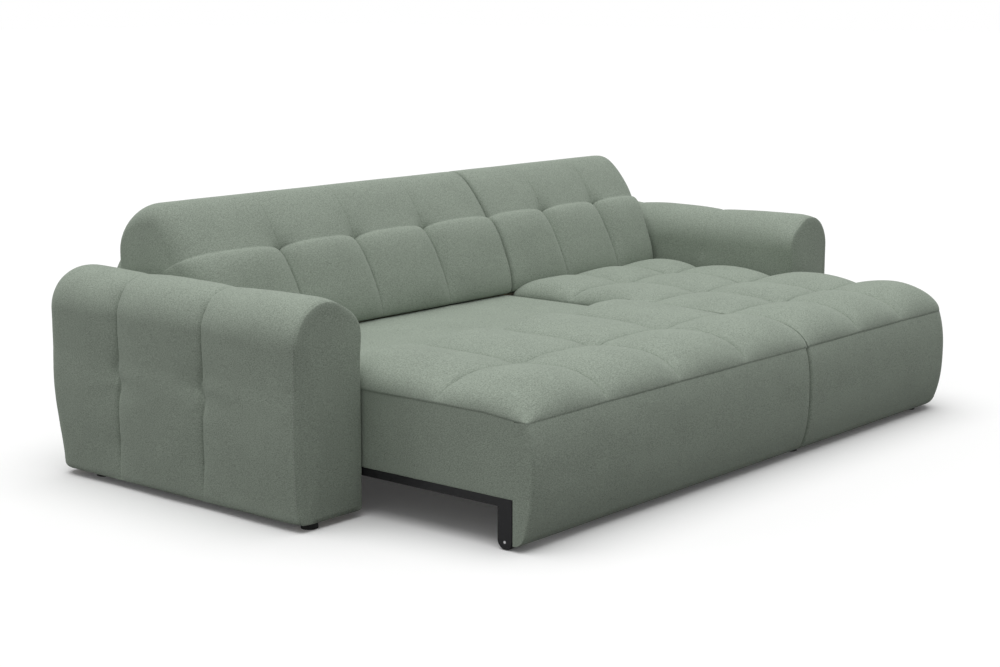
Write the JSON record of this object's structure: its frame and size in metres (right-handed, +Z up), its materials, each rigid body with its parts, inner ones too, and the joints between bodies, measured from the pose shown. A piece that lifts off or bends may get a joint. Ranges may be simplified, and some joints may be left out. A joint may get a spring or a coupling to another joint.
{
  "type": "corner sofa",
  "caption": "Corner sofa with padded arms, tufted seat and chaise in sage fabric, and a pull-out sleeper seat that slides forward on rollers.",
  "frame": {"origin": "middle of the footprint on the floor, with the seat pulled out", "axes": "+X along the back towards the chaise, +Y towards the rear, +Z up"},
  "size_m": [2.86, 1.765, 0.8429],
  "materials": {
    "upholstery": "woven chenille",
    "timber": "planed softwood",
    "plywood": "raw plywood",
    "black_steel": "black powder coat",
    "foam": "bare foam",
    "webbing": "woven elastic",
    "lining": "spun-bonded cloth",
    "foot_plastic": "moulded",
    "roller_nylon": "moulded",
    "axle_steel": "bright"
  },
  "bodies": {
    "base": {"arm_left_padding": "upholstery", "arm_right_padding": "upholstery", "arm_left_front_pad": "upholstery", "arm_right_front_pad": "upholstery", "back_left_cushion": "upholstery", "back_right_cushion": "upholstery", "chaise_cushion": "upholstery", "chaise_band": "upholstery", "chaise_left_panel": "upholstery", "rear_cloth": "upholstery", "arm_left_ribs": "timber", "arm_right_ribs": "timber", "back_left_rail": "timber", "back_right_rail": "timber", "chaise_front_board": "timber", "chaise_rear_board": "timber", "chaise_left_board": "timber", "chaise_right_board": "timber", "arm_left_outer_board": "plywood", "arm_right_outer_board": "plywood", "arm_left_inner_board": "plywood", "arm_right_inner_board": "plywood", "back_centre_support": "plywood", "rear_panel": "plywood", "guide_channel_left": "black_steel", "guide_channel_right": "black_steel", "chaise_foam": "foam", "chaise_rear_pad": "foam", "chaise_webbing": "webbing", "chaise_dust_cloth": "lining", "arm_left_feet": "foot_plastic", "arm_right_feet": "foot_plastic", "chaise_feet": "foot_plastic"},
    "pull_out": {"pull_out_cushion": "upholstery", "pull_out_rear_pad": "upholstery", "pull_out_front_panel": "upholstery", "pull_out_side_panel_left": "upholstery", "pull_out_side_panel_right": "upholstery", "pull_out_front_board": "timber", "pull_out_middle_board": "timber", "pull_out_rear_board": "timber", "pull_out_side_board_left": "timber", "pull_out_side_board_right": "timber", "pull_out_rear_deck": "plywood", "pull_out_rail_left": "black_steel", "pull_out_rail_right": "black_steel", "pull_out_leg_left": "black_steel", "pull_out_leg_right": "black_steel", "pull_out_hanger_left": "black_steel", "pull_out_hanger_right": "black_steel", "pull_out_foam": "foam", "pull_out_webbing": "webbing", "front_cross_tube": "black_steel", "rear_cross_tube": "black_steel", "roller_axles": "axle_steel"},
    "front_roller_left": {"front_roller_left": "roller_nylon"},
    "front_roller_right": {"front_roller_right": "roller_nylon"},
    "rear_roller_left": {"rear_roller_left": "roller_nylon"},
    "rear_roller_right": {"rear_roller_right": "roller_nylon"}
  },
  "joints": [
    {"name": "seat_slide", "type": "slide", "parent": "base", "child": "pull_out", "axis": [0, 1, 0], "range_m": [0, 0.42]},
    {"name": "front_roller_left_spin", "type": "hinge", "parent": "pull_out", "child": "front_roller_left", "pos_m": [-1.143, -0.7825, 0.023], "axis": [1, 0, 0], "continuous": true},
    {"name": "front_roller_right_spin", "type": "hinge", "parent": "pull_out", "child": "front_roller_right", "pos_m": [0.247, -0.7825, 0.023], "axis": [1, 0, 0], "continuous": true},
    {"name": "rear_roller_left_spin", "type": "hinge", "parent": "pull_out", "child": "rear_roller_left", "pos_m": [-1.151, 0.2925, 0.07], "axis": [1, 0, 0], "continuous": true},
    {"name": "rear_roller_right_spin", "type": "hinge", "parent": "pull_out", "child": "rear_roller_right", "pos_m": [0.255, 0.2925, 0.07], "axis": [1, 0, 0], "continuous": true}
  ]
}
